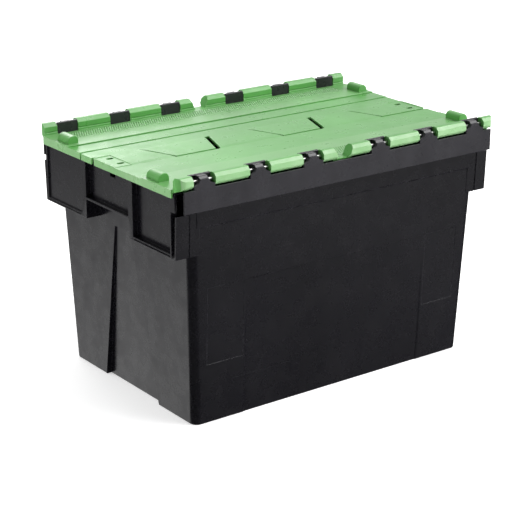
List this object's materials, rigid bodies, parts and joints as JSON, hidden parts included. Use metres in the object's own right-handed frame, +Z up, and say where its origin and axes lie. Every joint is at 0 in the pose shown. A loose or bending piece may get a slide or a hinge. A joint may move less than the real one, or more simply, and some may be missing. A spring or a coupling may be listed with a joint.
{
  "type": "attached lid tote",
  "caption": "Nesting storage tote with draft walls, hand grips in the end frames and a hinged interlocking two-flap lid.",
  "frame": {"origin": "centre of the base, on the face the tote stands on", "axes": "+Z up, X along the long sides, Y across; the -Y flap is the near one"},
  "size_m": [0.6, 0.392, 0.389],
  "materials": {
    "tub_plastic": "moulded black polypropylene",
    "lid_plastic": "moulded light green polypropylene",
    "rod_steel": "drawn steel rod"
  },
  "bodies": {
    "tub_body": {"tub": "tub_plastic", "near_left_hinge_rod": "rod_steel", "near_right_hinge_rod": "rod_steel", "far_left_hinge_rod": "rod_steel", "far_right_hinge_rod": "rod_steel"},
    "near_lid": {"near_lid_flap": "lid_plastic"},
    "far_lid": {"far_lid_flap": "lid_plastic"}
  },
  "joints": [
    {"name": "near_lid_hinge", "type": "hinge", "parent": "tub_body", "child": "near_lid", "pos_m": [0, -0.187, 0.38], "axis": [1, 0, 0], "range_deg": [0, 262]},
    {"name": "far_lid_hinge", "type": "hinge", "parent": "tub_body", "child": "far_lid", "pos_m": [0, 0.187, 0.38], "axis": [-1, 0, 0], "range_deg": [0, 262]}
  ]
}
